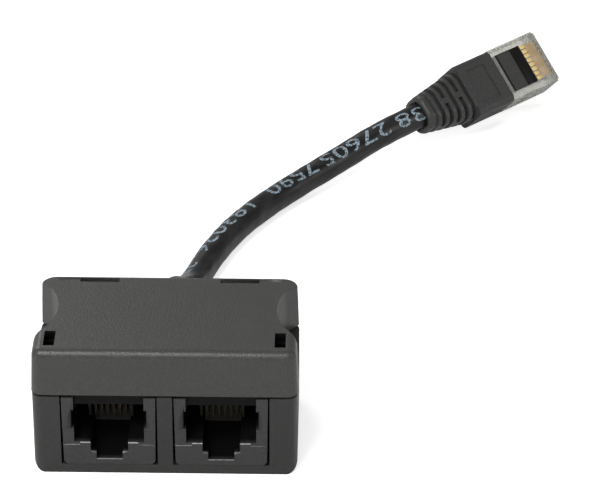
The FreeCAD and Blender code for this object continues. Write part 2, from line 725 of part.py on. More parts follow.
# Contact: a strip that rises through the board, runs forward below the carrier and folds back into the mouth.
def make_contact(name, index):
    body = new_body(name)
    half = "contact_thickness / 2"
    tail = tail_place(index)
    level = "(%s - %s)" % (MOUTH_TOP, half)
    fold = "(%s + contact_front)" % JACK_FRONT
    knee = ("(%s + knee_setback)" % JACK_FRONT, "(%s + knee_rise)" % LEDGE)
    tip = ("(%s + plug_depth - tip_gap)" % JACK_FRONT, "(%s + tip_rise)" % LEDGE)
    top = "(%s + tail_above_board)" % BOARD_TOP
    outer_fold = (fold + " - fold_offset", "%s + %s" % (level, half))
    sketch = new_sketch(body, "outline", "YZ_Plane", contact_x(index) + " - contact_width / 2")
    loop(sketch, [
        ("%s - %s" % (tail, half), top),
        ("%s - %s" % (tail, half), "%s + %s" % (level, half)),
        outer_fold,
        (knee[0] + " - knee_offset", "%s - %s" % (knee[1], half)),
        (tip[0], "%s - %s" % (tip[1], half)),
        (tip[0], "%s + %s" % (tip[1], half)),
        (knee[0] + " + knee_offset", "%s + %s" % (knee[1], half)),
        (fold + " + fold_offset", "%s - %s" % (level, half)),
        ("%s + %s" % (tail, half), "%s - %s" % (level, half)),
        ("%s + %s" % (tail, half), top),
    ])
    pad(body, sketch, "contact_width")
    along, up = [number(place) for place in outer_fold]

    def at_fold(edge):
        ends = edge.Vertexes
        return all(abs(end.Y - along) < SAME_PLACE and abs(end.Z - up) < SAME_PLACE for end in ends)

    round_edges(body, "contact_thickness", at_fold)
    return body


def hole_row(body, name, across, along, size, spacing, count):
    """A row of eight-sided holes through the board, from one hole of a size across its flats."""
    half = "(%s) / 2" % size
    corner = "(%s) * (sqrt(2) - 1) / 2" % size
    ring = [(half, "-" + corner), (half, corner), (corner, half), ("-" + corner, half)]
    ring += [("-" + half, corner), ("-" + half, "-" + corner)]
    ring += [("-" + corner, "-" + half), (corner, "-" + half)]
    sketch = new_sketch(body, name, "XY_Plane", BOARD_TOP)
    loop(sketch, [("%s + (%s)" % (across, x), "%s + (%s)" % (along, y)) for x, y in ring])
    first = pocket(body, sketch, "board_thickness")
    pattern = body.newObject("PartDesign::LinearPattern", body.Name + "_" + name + "_row")
    pattern.Originals = [first]
    pattern.Direction = (sketch, ["H_Axis"])
    pattern.setExpression("Length", bound("%s * (%s)" % (count - 1, spacing)))
    pattern.Occurrences = count
    body.Tip = pattern


# Circuit board. Its many small holes are eight-sided to keep it light.
def make_board():
    body = new_body("circuit_board")
    sketch = new_sketch(body, "outline", "XY_Plane", BOARD_BOTTOM)
    loop(sketch, rectangle("-" + BOARD_HALF, BOARD_HALF, BOARD_FRONT, BOARD_REAR))
    for side in ("-", ""):
        for peg in ("-", "+"):
            place = "%s%s %s peg_spacing / 2" % (side, JACK_X, peg)
            disc(sketch, place, JACK_FRONT + " + peg_setback", "peg_diameter + 2 * fit_clearance")
    pad(body, sketch, "board_thickness")
    for side, name in (("-", "left"), ("", "right")):
        for first in (1, 2):
            across = "%s%s + %s" % (side, JACK_X, contact_x(first))
            hole_row(body, "%s_tails_%d" % (name, first), across, tail_place(first),
                     "contact_width + tail_hole_room", "2 * contact_pitch", 4)
    hole_row(body, "wires", wire_hole_x(1), WIRE_HOLE_Y, WIRE_DIAMETER + " + 2 * fit_clearance",
             "wire_hole_pitch", 8)
    return body


def wire_hole_x(index):
    """The place of a wire's hole across the board."""
    return "((%s) * wire_hole_pitch)" % (index - 4.5)


# Grommet: a turned shape around the lead where it leaves the rear wall.
def make_grommet():
    body = new_body("cable_grommet")
    sketch = new_sketch(body, "profile", "XY_Plane")
    inside = "(%s - fit_clearance)" % INNER_REAR
    outside = "(%s + fit_clearance)" % REAR
    loop(sketch, [
        ("0", inside + " - grommet_flange"),
        ("grommet_diameter / 2", inside + " - grommet_flange"),
        ("grommet_diameter / 2", inside),
        ("grommet_neck_diameter / 2", inside),
        ("grommet_neck_diameter / 2", outside),
        ("grommet_diameter / 2", outside),
        ("grommet_diameter / 2", outside + " + grommet_flange"),
        ("grommet_diameter / 2 - grommet_shoulder", outside + " + grommet_flange"),
        ("grommet_end_diameter / 2", EXIT_Y),
        ("0", EXIT_Y),
    ])
    turned = body.newObject("PartDesign::Revolution", "grommet_turned")
    turned.Profile = sketch
    turned.ReferenceAxis = (sketch, ["V_Axis"])
    turned.Angle = 360
    body.setExpression("Placement.Base.z", bound(SEAM))
    return body


def make_cable_tail():
    body = new_body("cable_tail")
    sketch = new_sketch(body, "round", "XZ_Plane", "(-%s)" % TAIL_END)
    disc(sketch, "0", SEAM, "cable_diameter")
    pad(body, sketch, "cable_tail_length", reverse=True)
    return body


def swept(name, path, section, area, corners=0):
    """A solid swept along a path, its volume held against its section times its length."""
    feature = doc.addObject("Part::Feature", name)
    feature.Label = name
    feature.Shape = Part.Solid(path.makePipeShell([section], True, False, corners))
    share = feature.Shape.Volume / (area * path.Length)
    if abs(share - 1) > 0.01:
        raise ValueError("%s has %.2f of its volume" % (name, share))
    return feature


def strand(name, points, diameter):
    """A slim wire of straight runs with mitred bends, its section a polygon of many sides."""
    along = (points[1] - points[0]).normalize()
    across = along.cross(FreeCAD.Vector(0, 0, 1)).normalize() * (diameter / 2)
    turns = [FreeCAD.Rotation(along, side * 360 / WIRE_SIDES) for side in range(WIRE_SIDES + 1)]
    section = Part.makePolygon([points[0] + turn.multVec(across) for turn in turns])
    mitred = 1
    return swept(name, Part.makePolygon(points), section, Part.Face(section).Area, mitred)


def tube(name, points, diameter):
    """A round tube of straight runs joined by tangent arcs, each as large as its two runs allow."""
    runs = [after - before for before, after in zip(points, points[1:])]
    edges = []
    start = points[0]
    for index, corner in enumerate(points[1:-1]):
        into = FreeCAD.Vector(runs[index]).normalize()
        out = FreeCAD.Vector(runs[index + 1]).normalize()
        half_turn = into.getAngle(out) / 2
        reach = 0.45 * min(runs[index].Length, runs[index + 1].Length)
        radius = reach / math.tan(half_turn)
        middle = corner + (out - into).normalize() * radius * (1 / math.cos(half_turn) - 1)
        edges.append(Part.LineSegment(start, corner - into * reach).toShape())
        edges.append(Part.Arc(corner - into * reach, middle, corner + out * reach).toShape())
        print(name, "radius %.1f" % radius)
        start = corner + out * reach
    edges.append(Part.LineSegment(start, points[-1]).toShape())
    path = Part.Wire(edges)
    print(name, "length %.2f" % path.Length)
    section = Part.Wire(Part.makeCircle(diameter / 2, points[0], runs[0]))
    return swept(name, path, section, math.pi * diameter ** 2 / 4)


# Wires from the lead's end over the board's rear edge and down into its holes. Two rows of four leave the
# lead, and in each half of the board the upper row takes the inner hole of each pair.
def make_lead_wire(index):
    column = (index - 1) // 2
    upper = (index % 2 == 0) if column < 2 else (index % 2 == 1)
    side = 1 if upper else -1
    diameter = number(WIRE_DIAMETER)
    grid = diameter + number("wire_spacing")
    start = FreeCAD.Vector((column - 1.5) * grid, number(TAIL_END), number(SEAM) + side * grid / 2)
    hole = FreeCAD.Vector(number(wire_hole_x(index)), number(WIRE_HOLE_Y), number(BOARD_BOTTOM))
    level = number(BOARD_TOP + " + wire_rise") + side * grid / 2
    outer = column in (0, 3)
    turn = number(BOARD_REAR) + number("wire_turn") * (2 if upper else 1.2 if outer else 0.5)
    behind = number(BOARD_REAR) + number("fit_clearance") + diameter / 2 * (2 if upper else 1)
    points = [
        start,
        FreeCAD.Vector(start.x, turn, start.z),
        FreeCAD.Vector(hole.x, behind, level),
        FreeCAD.Vector(hole.x, hole.y, level),
        hole,
    ]
    return strand("lead_wire_%d" % index, points, diameter)


# Lead: its first run follows the grommet and its last run the boot, and the points between are the route.
def make_cable():
    straight = 9.0
    last_run = 10.5
    route = [
        (0.7, 32.7, 12.9),
        (3.25, 46.9, 3.6),
        (8.0, 63.4, 2.65),
        (18.2, 78.3, 3.0),
        (28.7, 88.8, 4.35),
    ]
    place = plug_place()
    along = place.Rotation.multVec(FreeCAD.Vector(0, 1, 0))
    end = place.multVec(FreeCAD.Vector(0, number("boot_mouth_depth - boot_length"), number(PLUG_AXIS)))
    exit_y = number(EXIT_Y)
    points = [FreeCAD.Vector(0, exit_y, number(SEAM)), FreeCAD.Vector(0, exit_y + straight, number(SEAM))]
    points += [FreeCAD.Vector(*point) for point in route]
    points += [end - along * last_run, end]
    for point in points:
        print("cable point %.2f %.2f %.2f" % (point.x, point.y, point.z))
    return tube("cable", points, number("cable_diameter"))


def plug_place():
    """Where the plug's own frame lies: the middle of its contact face at the boot's front, +Y its way in."""
    behind = number(EXIT_Y + " + plug_behind")
    base_point = FreeCAD.Vector(number("plug_across"), behind, number("plug_above_floor"))
    turn = FreeCAD.Rotation(FreeCAD.Vector(0, 0, 1), number("plug_azimuth") - 90)
    turn = turn.multiply(FreeCAD.Rotation(FreeCAD.Vector(1, 0, 0), number("plug_pitch")))
    turn = turn.multiply(FreeCAD.Rotation(FreeCAD.Vector(0, 1, 0), number("plug_roll")))
    return FreeCAD.Placement(base_point, turn)


# Plug: clear shell with a neck, a latch, a rear cavity with its window, a wire channel and blade slots.
def make_plug_body():
    body = new_body("plug_body")
    half = "plug_width / 2"
    sketch = new_sketch(body, "outline", "XZ_Plane")
    loop(sketch, rectangle("-" + half, half, "-plug_height", "0"))
    pad(body, sketch, "plug_length", reverse=True)
    length = number("plug_length") - SAME_PLACE

    def runs_forward(edge):
        depths = [end.Y for end in edge.Vertexes]
        return max(depths) - min(depths) > length

    round_edges(body, "plug_edge_radius", runs_forward)
    neck_low = "(%s - neck_height / 2)" % PLUG_AXIS
    neck_high = "(%s + neck_height / 2)" % PLUG_AXIS
    add_box(body, "neck", ("-neck_width / 2", "neck_width / 2"), ("-neck_length", ROOT), (neck_low, neck_high))

    # Latch, from the front of the underside back and down.
    front = "(plug_length - latch_root_inset)"
    root_rear = front + " - latch_root_length"
    sketch = new_sketch(body, "latch", "YZ_Plane")
    loop(sketch, [
        (front, "-plug_height + " + ROOT),
        (front, "-plug_height - latch_thickness"),
        (front + " - latch_thickness", "-plug_height - latch_thickness - latch_bend"),
        ("latch_end_gap", "-plug_height - latch_drop"),
        ("latch_end_gap", "-plug_height - latch_drop + latch_thickness"),
        (root_rear, "-plug_height"),
        (root_rear, "-plug_height + " + ROOT),
    ])
    pad(body, sketch, "latch_width", middle=True)
    sides = []
    for x_range in both_sides("latch_finger_width / 2", "latch_width"):
        sides.append((x_range, ("-" + PAST, "plug_length - latch_finger_start")))
    cut_boxes(body, "finger_sides", sides, ("-plug_height - latch_drop - " + PAST, "-plug_height"))

    # Rear cavity, window and wire channel.
    cavity = ("-window_width / 2", "window_width / 2")
    cut_box(body, "cavity", cavity, (beyond("-neck_length", -1), WINDOW_END), (CAVITY_FLOOR, CAVITY_ROOF))
    cut_box(body, "window", cavity, ("window_start", WINDOW_END), ("%s - %s" % (CAVITY_ROOF, ROOT), PAST))
    cut_box(body, "channel", ("-" + CARRIER_HALF, CARRIER_HALF),
            ("%s - %s" % (WINDOW_END, ROOT), "plug_length - wire_end_margin"),
            (CHANNEL_TOP + " - wire_channel_height", CHANNEL_TOP))
    slots = []
    for index in range(1, 9):
        x_range = ["%s %s blade_slot_width / 2" % (contact_x(index), side) for side in ("-", "+")]
        slots.append((x_range, ("plug_length - blade_slot_length", beyond("plug_length", 1))))
    cut_boxes(body, "blade_slots", slots, (CHANNEL_TOP + " - fit_clearance", PAST))
    return body


# The lead's flattened jacket end, which fills the plug's cavity and its window.
def make_jacket_end():
    body = new_body("plug_jacket_end")
    half = "(window_width / 2 - block_clearance)"
    front = WINDOW_END + " - block_clearance"
    add_box(body, "block", ("-" + half, half), ("-neck_length", front),
            (CAVITY_FLOOR + " + block_clearance", CAVITY_ROOF + " - block_clearance"))
    add_box(body, "window_block", ("-" + half, half), ("window_start + block_clearance", front),
            ("%s - %s" % (CAVITY_ROOF, ROOT), "-block_inset"))
    return body


def make_blade(name, index):
    body = new_body(name)
    x_range = ["%s %s blade_thickness / 2" % (contact_x(index), side) for side in ("-", "+")]
    front = "(plug_length - blade_inset)"
    add_box(body, "blade", x_range, (front + " - blade_length", front), (CHANNEL_TOP, "-blade_inset"))
    return body


def make_plug_wire(name, index):
    wire = doc.addObject("Part::Prism", name)
    wire.Label = name
    wire.Polygon = WIRE_SIDES
    wire.setExpression("Circumradius", bound(WIRE_DIAMETER + " / 2"))
    wire.setExpression("Height", bound("plug_length - wire_end_margin - fit_clearance - " + WINDOW_END))
    return wire


def plug_wire_place(index):
    """Where a wire starts in the plug: below its blade, at the front of the window, pointing forward."""
    below = "%s - %s / 2" % (CHANNEL_TOP, WIRE_DIAMETER)
    start = FreeCAD.Vector(number(contact_x(index)), number(WINDOW_END), number(below))
    forward = FreeCAD.Rotation(FreeCAD.Vector(1, 0, 0), -90)
    return plug_place().multiply(FreeCAD.Placement(start, forward))


def rounded(half_width, low, high, radius):
    """A rectangle in a sketch with its four corners rounded."""
    return plan("(%s)" % half_width, "(%s)" % low, "(%s)" % high, radius, radius)


def groove(core, height, web, place):
    """The outline of a groove over one side of the boot's bevelled core, down to a web at each end."""
    past = "boot_width"
    bevel = "(%s / 2)" % height
    outline = [
        ("-" + past, web),
        ("-" + core, web),
        ("-" + core, bevel),
        ("(%s - %s)" % (bevel, core), height),
        ("(%s - %s)" % (core, bevel), height),
        (core, bevel),
        (core, web),
        (past, web),
        (past, past),
        ("-" + past, past),
    ]
    return [place(u, v) for u, v in outline]


# Boot: a block around the plug's neck and a ribbed tail that narrows to the lead.
def make_boot():
    body = new_body("plug_boot")
    top = "boot_proud"
    low = "boot_proud - boot_height"
    sketch = new_sketch(body, "outline", "XZ_Plane")
    loop(sketch, rounded("boot_width / 2", low, top, "boot_corner_radius"))
    pad(body, sketch, "boot_body_length")

    wide = new_sketch(body, "tail_wide", "XZ_Plane", "boot_body_length - " + ROOT)
    half = "boot_tail_height / 2"
    loop(wide, rounded("boot_tail_width / 2", "%s - %s" % (PLUG_AXIS, half), "%s + %s" % (PLUG_AXIS, half),
                       "boot_tail_radius"))
    narrow = new_sketch(body, "tail_narrow", "XZ_Plane", "boot_length")
    half = "boot_end_diameter / 2"
    loop(narrow, rounded(half, "%s - %s" % (PLUG_AXIS, half), "%s + %s" % (PLUG_AXIS, half),
                         "boot_tail_radius"))
    loft = body.newObject("PartDesign::AdditiveLoft", "boot_tail")
    loft.Profile = wide
    loft.Sections = [narrow]
    loft.Ruled = True

    # Five grooves in turn: across the top and the bottom, then around both sides. Each leaves a core
    # inside, and a web where the other kind is cut through.
    for step in range(5):
        start = "(groove_start + %d * groove_pitch)" % step
        share = "((%s - boot_body_length) / (boot_length - boot_body_length))" % start
        size = "((%s * (1 - " + share + ") + boot_end_diameter * " + share + ") / 2 - groove_depth)"
        across = size % "boot_tail_width"
        high = size % "boot_tail_height"
        sketch = new_sketch(body, "groove_%d" % step, "XZ_Plane", start)
        if step % 2 == 0:
            web = "groove_side_web"
            loop(sketch, groove(across, high, web, lambda u, v: (u, "%s + %s" % (PLUG_AXIS, v))))
            loop(sketch, groove(across, high, web, lambda u, v: (u, "%s - %s" % (PLUG_AXIS, v))))
        else:
            web = "groove_top_web"
            along = PLUG_AXIS + " + (%s)"
            loop(sketch, groove(high, across, web, lambda u, v: (v, along % u)))
            loop(sketch, groove(high, across, web, lambda u, v: ("-(%s)" % v, along % u)))
        pocket(body, sketch, "groove_width", reverse=True)

    # Sunk panel on top, mouth around the lead, and socket for the neck.
    cut_box(body, "panel", ("-panel_width / 2", "panel_width / 2"),
            ("-panel_inset - panel_length", "-panel_inset"), (top + " - panel_depth", beyond(top, 1)))
    sketch = new_sketch(body, "mouth", "XZ_Plane", "boot_length")
    disc(sketch, "0", PLUG_AXIS, "boot_mouth_diameter")
    pocket(body, sketch, "boot_mouth_depth")
    half = "(neck_width / 2 + block_clearance)"
    neck = "(neck_height / 2 + block_clearance)"
    cut_box(body, "socket", ("-" + half, half), ("-neck_length", PAST),
            ("%s - %s" % (PLUG_AXIS, neck), "%s + %s" % (PLUG_AXIS, neck)))
    return body


base = make_base()
cover = make_cover()
sockets = []
for side, sign in (("left", "-"), ("right", "")):
    group = [make_jack(side + "_jack"), make_carrier(side + "_carrier")]
    group += [make_contact("%s_contact_%d" % (side, index), index) for index in range(1, 9)]
    for body in group:
        body.setExpression("Placement.Base.x", bound(sign + JACK_X))
    sockets += group
inside = [make_board(), make_cable_tail(), make_grommet()]
inside += [make_lead_wire(index) for index in range(1, 9)]
plug = [make_plug_body(), make_jacket_end(), make_boot()]
plug += [make_blade("plug_blade_%d" % index, index) for index in range(1, 9)]
for body in plug:
    body.Placement = plug_place()
for index in range(1, 9):
    wire = make_plug_wire("plug_wire_%d" % index, index)
    wire.Placement = plug_wire_place(index)
    plug.append(wire)
cable = make_cable()
doc.recompute()

nodes = [base, cover] + sockets + inside + plug + [cable]
faults = [item.Name for item in doc.Objects if "Invalid" in item.State or "Error" in item.State]
for node in nodes:
    shape = node.Shape
    if shape.isNull() or not shape.isValid() or len(shape.Solids) != 1:
        faults.append(node.Label)
if faults:
    raise ValueError("failed: " + ", ".join(faults))
for node in nodes:
    node.Shape.exportStep("parts/%s.step" % node.Label)
print(len(nodes), "nodes written")
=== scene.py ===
import math

import bmesh
import bpy
from mathutils import Matrix, Vector, noise


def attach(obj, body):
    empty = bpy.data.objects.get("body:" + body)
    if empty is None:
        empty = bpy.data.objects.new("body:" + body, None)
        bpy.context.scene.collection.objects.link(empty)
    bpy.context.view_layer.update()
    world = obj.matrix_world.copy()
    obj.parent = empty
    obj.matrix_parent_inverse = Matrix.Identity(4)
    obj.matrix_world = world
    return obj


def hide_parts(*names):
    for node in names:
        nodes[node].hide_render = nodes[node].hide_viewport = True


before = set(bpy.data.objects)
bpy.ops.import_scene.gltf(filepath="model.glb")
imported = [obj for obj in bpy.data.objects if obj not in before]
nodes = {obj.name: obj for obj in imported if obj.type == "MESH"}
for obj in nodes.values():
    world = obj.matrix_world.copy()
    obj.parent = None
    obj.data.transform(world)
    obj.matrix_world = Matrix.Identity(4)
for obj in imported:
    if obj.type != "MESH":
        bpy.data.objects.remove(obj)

# RJ45 splitter adapter. Blender's unit is the metre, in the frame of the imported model. Sizes that are
# read off the part are given in millimetres, and turned into metres where they are used.
MM = 0.001
UP = Vector((0, 0, 1))
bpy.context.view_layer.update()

# The photograph's view: how the camera stands, and its lens on a sensor 36 mm wide.
CAMERA_PLACE = Vector((27.936, -468.975, 319.098)) * MM
CAMERA_TILT = math.radians(31.0)
CAMERA_TURN = math.radians(0.729)
CAMERA_ROLL = math.radians(0.217)
CAMERA_LENS, CAMERA_SENSOR = 197.6, 36

# The housing, in millimetres. Pairs are the least and the most of a range.
ROOF_HEIGHT = 24.2
SEAM_HEIGHT = 16.5
REAR_WALL_INSIDE = 10.5
SCALLOPS_ACROSS, SCALLOPS_ALONG = 19.0, (-8.4, 11.5)
HOLES_ACROSS, HOLES_ABOVE = (5.0, 21.2), 17.0
FRONT_HOLES_ALONG, REAR_SLOTS_BEHIND = (-10.3, -5.4), 9.7
REAR_SLOTS_ACROSS, REAR_SLOTS_ALONG, REAR_SLOTS_ABOVE = (8.7, 15.6), (9.8, 11.2), 20.0
SOCKET_FRONT_BEFORE, SOCKET_LIPS_BELOW = -10.0, 9.0

# The roof's rear edge, in millimetres: the middle of its corners' turn, how far from there its rounding
# begins, the rounding and the tighter one it gets, and over how long the one changes into the other.
CORNER_X, CORNER_Y, CORNER_INSIDE = 19.6, 9.6, 1.11
ROUNDING, TIGHT_ROUNDING = 1.5, 0.35
ROUNDING_CHANGE = 1.2

# From where a vertex counts as on that rounding, how far the edge's two slots move back, and above which
# height their vertices are at the roof.
ROUNDED_BEYOND, ROUNDED_SHARE = 0.05, 0.97
SLOT_SHIFT, SLOT_TOPS_ABOVE = 0.55, 24.0

# The lead: its size, and its route in millimetres from inside the grommet to inside the boot's mouth.
CABLE_DIAMETER = 5.1 * MM
CABLE_RADIUS = CABLE_DIAMETER / 2
CABLE_SIDES = 32
CABLE_ROUTE = [
    (0.0, 15.0, 15.575),
    (0.0, 21.5, 15.575),
    (0.3, 29.8, 10.8),
    (1.7, 42.8, 2.6),
    (5.2, 55.5, 2.65),
    (10.4, 67.2, 2.8),
    (18.3, 78.4, 3.0),
    (28.7, 88.8, 4.35),
    (38.12, 96.36, 7.04),
    (45.97, 103.33, 7.31),
]

# The lead's surface: the twist of its pairs, the length of its lumps, and how far these stand out.
TWIST_LENGTH, LUMP_LENGTH, LUMP_ROUND = 17 * MM, 5 * MM, 0.9
LUMP_HEIGHT, RIDGE_HEIGHT = 0.05 * MM, 0.02 * MM
RIDGES, RIDGE_WANDER = 3, 2.2

# Plain digits printed on the lead: the text, and where it starts and ends along the lead in millimetres.
DIGITS = [
    ("38", 106.6, 99.9),
    ("27605", 97.9, 80.9),
    ("7590", 79.1, 65.9),
    ("183026", 60.5, 40.5),
    ("27", 37.0, 30.5),
]
DIGIT_HEIGHT = 3.1 * MM
DIGIT_BOLDNESS = 0.004
DIGIT_CELL = 0.35 * MM
INK_LIFT, INK_THICKNESS = 0.02 * MM, 0.03 * MM

# How the print turns away from the top of the lead: by so many degrees at one place, and less before it.
PRINT_TURN = 41.0
PRINT_TURN_AT = 104.0
PRINT_TURN_PER_MM = 1.15

# The plug's own frame, as the part's source has it: +Y is the way it goes in, +Z out of its contact face.
PLUG_ORIGIN = Vector((61.9, 114.5, 10.25)) * MM
PLUG_AZIMUTH, PLUG_PITCH, PLUG_ROLL = math.radians(41.6), math.radians(1.5), math.radians(42.5)
PLUG_TURN = (Matrix.Rotation(PLUG_AZIMUTH - math.pi / 2, 4, "Z") @ Matrix.Rotation(PLUG_PITCH, 4, "X")
             @ Matrix.Rotation(PLUG_ROLL, 4, "Y"))
PLUG_PLACE = Matrix.Translation(PLUG_ORIGIN) @ PLUG_TURN
PLUG_INVERSE = PLUG_PLACE.inverted()

# The plug and its boot, in millimetres in that frame.
PLUG_WIDTH, PLUG_LENGTH = 11.68, 12.4
CONTACTS, CONTACT_PITCH = 8, 1.02
BOOT_AXIS = -3.3
BOOT_END, BOOT_MOUTH_RADIUS = -20.3, 3.3
BOOT_OUTSIDE = (-20.2, -0.4)
LAST_GROOVE = (-19.6, -19.4, -18.9, -18.7)
LAST_GROOVE_DEPTH, LAST_GROOVE_INSIDE = 0.5, 3.25

# How wide the eased edges are, in millimetres.
SCALLOP_EASE, LIP_EASE, BOOT_END_EASE, BOOT_OUTSIDE_EASE = 0.45, 0.28, 0.8, 0.12

# How close vertices count as one, how near a cut they count as on it, and a hair's breadth in millimetres.
SAME_PLACE = 0.002 * MM
ON_CUT = 0.0005 * MM
CLOSE = 0.01

# The bend from which an edge is sharp, and the bend up to which it is flat. How much of a face's normal
# is along an axis at the least where it faces that way, and along the vertical at the most in a wall.
SHARP, FLAT = math.radians(28), math.radians(0.3)
FACING, UPRIGHT = 0.7, 0.3


def linear(*rgb):
    """A colour given as 0 to 255 screen values, in the renderer's linear values."""
    return tuple(((v / 255 + 0.055) / 1.055) ** 2.4 if v > 10 else v / 255 / 12.92 for v in rgb) + (1.0,)


def grey(value):
    """A plain value as the four channels of a ramp's colour."""
    return (value, value, value, 1.0)


def within(value, window):
    return window[0] < value < window[1]


# Materials
class Finish:
    """A material under construction: its nodes and its main shader."""

    # The Mix node's colour sockets, whose names its number sockets have too.
    MIX_RESULT, MIX_A, MIX_B = 2, 6, 7

    def __init__(self, name, roughness, specular=0.5, attribute=None, **sockets):
        self.material = bpy.data.materials.new(name)
        self.material.use_nodes = True
        self.tree = self.material.node_tree
        self.shader = self.tree.nodes["Principled BSDF"]
        self.shader.inputs["Roughness"].default_value = roughness
        self.shader.inputs["Specular IOR Level"].default_value = specular
        for socket, value in sockets.items():
            self.shader.inputs[socket.replace("_", " ")].default_value = value
        if attribute:
            self.place = self.node("ShaderNodeAttribute", "Vector", attribute_name=attribute)
        else:
            self.place = self.node("ShaderNodeTexCoord", "Object")

    def node(self, kind, output, **settings):
        """A new node's output."""
        made = self.tree.nodes.new(kind)
        for setting, value in settings.items():
            setattr(made, setting, value)
        return made.outputs[output]

    def link(self, output, target):
        self.tree.links.new(output, target)

    def noise(self, size, detail=2.0, stretch=(1, 1, 1)):
        """Noise whose features are about the given size, in metres."""
        mapping = self.node("ShaderNodeMapping", "Vector")
        mapping.node.inputs["Scale"].default_value = stretch
        self.link(self.place, mapping.node.inputs["Vector"])
        texture = self.node("ShaderNodeTexNoise", "Fac")
        texture.node.inputs["Scale"].default_value = 1 / size
        texture.node.inputs["Detail"].default_value = detail
        self.link(mapping, texture.node.inputs["Vector"])
        return texture

    def ramp(self, value, stops):
        """A ramp from a value to colours."""
        ramp = self.node("ShaderNodeValToRGB", "Color")
        elements = ramp.node.color_ramp.elements
        for element, (position, colour) in zip(elements, stops):
            element.position = position
            element.color = colour
        self.link(value, ramp.node.inputs["Fac"])
        return ramp

    def colour(self, value, dark, light, low=0.35, high=0.65):
        """Colours between two screen colours, where a value runs from low to high."""
        stops = [(low, linear(*dark)), (high, linear(*light))]
        self.link(self.ramp(value, stops), self.shader.inputs["Base Color"])

    def roughness(self, value, low, high):
        stops = [(0.3, grey(low)), (0.7, grey(high))]
        self.link(self.ramp(value, stops), self.shader.inputs["Roughness"])

    def darken_inside(self, axis, outer, inner, shade, specular=None):
        """Shades the colour, and dulls the shine, from an outer to an inner place along an axis."""
        split = self.node("ShaderNodeSeparateXYZ", axis)
        self.link(self.place, split.node.inputs["Vector"])
        depth = self.node("ShaderNodeMapRange", "Result")
        depth.node.inputs["From Min"].default_value = outer
        depth.node.inputs["From Max"].default_value = inner
        self.link(split, depth.node.inputs["Value"])
        base = self.shader.inputs["Base Color"]
        mix = self.node("ShaderNodeMix", self.MIX_RESULT, data_type="RGBA", blend_type="MULTIPLY")
        self.link(depth, mix.node.inputs["Factor"])
        self.link(base.links[0].from_socket, mix.node.inputs[self.MIX_A])
        mix.node.inputs[self.MIX_B].default_value = linear(*shade)
        self.link(mix, base)
        if specular is not None:
            shine = self.shader.inputs["Specular IOR Level"]
            self.link(self.ramp(depth, [(0, grey(shine.default_value)), (1, grey(specular))]), shine)

    def bump(self, value, depth):
        """Relief of the given depth in metres."""
        bump = self.node("ShaderNodeBump", "Normal")
        bump.node.inputs["Strength"].default_value = 1.0
        bump.node.inputs["Distance"].default_value = depth
        self.link(value, bump.node.inputs["Height"])
        self.link(bump, self.shader.inputs["Normal"])


def shell_plastic(name, dark, light, shaded=None):
    """Dark grey moulded shell with a fine spark-eroded grain, with painted shade making it darker in its
    unlit inside.
    """
    finish = Finish(name, roughness=0.3)
    grain = finish.noise(0.3 * MM)
    finish.colour(grain, dark, light, low=0.3, high=0.7)
    finish.roughness(finish.noise(6 * MM), 0.30, 0.37)
    finish.bump(grain, 0.055 * MM)
    # Painted shade, where given: the colour darkens over a range of heights.
    if shaded:
        finish.darken_inside("Z", *shaded)
    return finish.material


def socket_plastic(name, dark, light):
    """Smoother plastic of the two sockets, with painted shade: dull and dark behind their front."""
    finish = Finish(name, roughness=0.36)
    grain = finish.noise(0.5 * MM)
    finish.colour(grain, dark, light)
    # Painted shade: colour darkened and shine dulled deeper behind the sockets' front.
    finish.darken_inside("Y", -12.2 * MM, -11.0 * MM, (110, 110, 112), specular=0.14)
    finish.roughness(finish.noise(4 * MM), 0.32, 0.42)
    finish.bump(grain, 0.008 * MM)
    return finish.material


def carrier_plastic():
    """Plain matt plastic of the contacts' carriers."""
    finish = Finish("carrier_plastic", roughness=0.5, specular=0.4)
    grain = finish.noise(0.4 * MM)
    finish.colour(grain, (74, 72, 69), (96, 93, 89))
    finish.bump(grain, 0.015 * MM)
    return finish.material


def plated(name, dark, light, rough, metallic=1.0):
    """Gold plating with faint rolling marks along the strip."""
    finish = Finish(name, roughness=rough, Metallic=metallic)
    marks = finish.noise(0.2 * MM, stretch=(6, 1, 1))
    finish.colour(marks, dark, light)
    finish.roughness(marks, rough, rough + 0.14)
    finish.bump(marks, 0.004 * MM)
    return finish.material


def board_resin():
    """Green board with the weave of its glass just showing."""
    finish = Finish("board_resin", roughness=0.3)
    weave = finish.noise(0.6 * MM, detail=1.0)
    finish.colour(weave, (18, 72, 40), (28, 92, 52))
    finish.bump(weave, 0.01 * MM)
    return finish.material


def lead_jacket(name, attribute=None):
    """Black jacket with a soft shine, smeared darker here and there along its length."""
    finish = Finish(name, roughness=0.36, attribute=attribute)
    smear = finish.noise(2.2 * MM, stretch=(0.4, 1, 1))
    finish.colour(smear, (12, 12, 12), (36, 35, 34), low=0.42, high=0.58)
    finish.roughness(finish.noise(1.6 * MM, stretch=(0.4, 1, 1)), 0.28, 0.44)
    finish.bump(finish.noise(0.35 * MM), 0.006 * MM)
    return finish.material


def print_ink():
    """Pale ink, thin and broken in places."""
    finish = Finish("print_ink", roughness=0.45, specular=0.4)
    breaks = finish.noise(0.34 * MM, detail=1.0)
    finish.colour(breaks, (52, 56, 60), (156, 174, 186), low=0.41, high=0.50)
    finish.bump(breaks, 0.01 * MM)
    return finish.material


def grommet_rubber():
    """Matt black rubber."""
    finish = Finish("grommet_rubber", roughness=0.55, specular=0.4)
    grain = finish.noise(0.5 * MM, detail=3.0)
    finish.colour(grain, (34, 34, 35), (46, 46, 47))
    finish.bump(grain, 0.02 * MM)
    return finish.material


def boot_plastic():
    """Satin black of the boot and of the block in the plug."""
    finish = Finish("boot_plastic", roughness=0.42)
    grain = finish.noise(0.4 * MM)
    finish.colour(grain, (55, 55, 54), (66, 66, 65))
    finish.roughness(finish.noise(2 * MM), 0.38, 0.48)
    finish.bump(grain, 0.012 * MM)
    return finish.material


